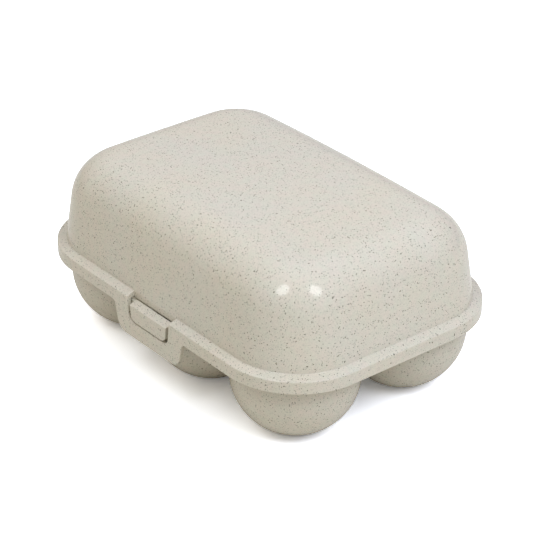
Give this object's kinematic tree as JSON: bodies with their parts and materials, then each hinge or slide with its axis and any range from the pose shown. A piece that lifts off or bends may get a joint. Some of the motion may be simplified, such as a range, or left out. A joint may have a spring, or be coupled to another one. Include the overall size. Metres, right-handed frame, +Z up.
{
  "type": "egg box",
  "caption": "Rigid egg box with a domed lid hinged along the back over a tray of round egg cups, held shut by a press button behind a loop at the front.",
  "frame": {"origin": "on the surface the box stands on, at the middle of its outline seen from above", "axes": "+X along the long side, -Y towards the front with the press button, +Y towards the hinge, +Z up"},
  "size_m": [0.16, 0.117, 0.0716],
  "materials": {
    "speckled_shell": "satin moulded plastic, warm light grey with fine dark flecks",
    "hinge_pin": "satin moulded plastic"
  },
  "bodies": {
    "base": {"base_tray": "speckled_shell", "hinge_pin_left": "hinge_pin", "hinge_pin_right": "hinge_pin"},
    "lid": {"lid_shell": "speckled_shell"},
    "latch_button": {"latch_button": "speckled_shell"}
  },
  "joints": [
    {"name": "lid_hinge", "type": "hinge", "parent": "base", "child": "lid", "pos_m": [0, 0.0556, 0.02923], "axis": [-1, 0, 0], "range_deg": [0, 105]},
    {"name": "button_press", "type": "slide", "parent": "base", "child": "latch_button", "axis": [0, 1, 0], "range_m": [0, 0.0017], "stiffness_N_per_m": 500}
  ]
}
